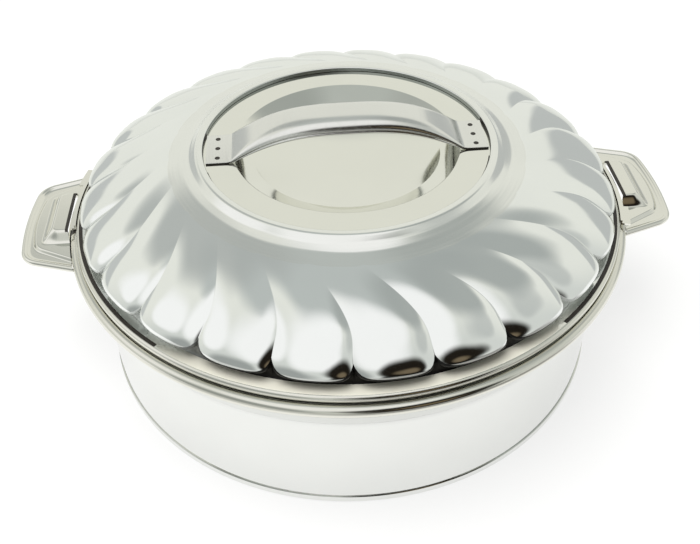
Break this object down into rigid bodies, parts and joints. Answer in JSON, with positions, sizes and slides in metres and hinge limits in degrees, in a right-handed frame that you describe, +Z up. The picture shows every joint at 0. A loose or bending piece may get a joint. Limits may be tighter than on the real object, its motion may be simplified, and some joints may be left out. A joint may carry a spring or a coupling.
{
  "type": "insulated casserole",
  "caption": "Round double-walled steel serving pot with side handles and a domed, swirl-fluted twist-lock lid that has a strap handle over a sunken centre.",
  "frame": {"origin": "centre of the foot ring's underside", "axes": "+Z up along the pot's axis, +X through the middle of the right handle, -Y towards the side that faces the picture's camera"},
  "size_m": [0.3314, 0.283, 0.1324],
  "materials": {
    "body_steel": "mirror-polished stainless steel",
    "lid_steel": "mirror-polished stainless steel",
    "dish_steel": "polished stainless steel",
    "handle_steel": "polished pressed stainless steel",
    "inner_steel": "satin stainless steel",
    "foam": "rigid insulating foam",
    "seal_rubber": "soft silicone"
  },
  "bodies": {
    "base": {"base_plate": "body_steel", "outer_shell": "body_steel", "inner_pot": "inner_steel", "body_foam": "foam", "left_handle": "handle_steel", "right_handle": "handle_steel"},
    "seal": {"seal_ring": "seal_rubber"},
    "lid": {"lid_dome": "lid_steel", "lid_dish": "dish_steel", "lid_liner": "inner_steel", "lid_foam": "foam", "lid_handle": "handle_steel", "left_lock_tab": "handle_steel", "right_lock_tab": "handle_steel"}
  },
  "joints": [
    {"name": "lid_lift", "type": "slide", "parent": "base", "child": "seal", "axis": [0, 0, 1], "range_m": [0, 0.12]},
    {"name": "lid_twist", "type": "hinge", "parent": "seal", "child": "lid", "pos_m": [0, 0, 0.08], "axis": [0, 0, 1], "range_deg": [0, 14]}
  ]
}
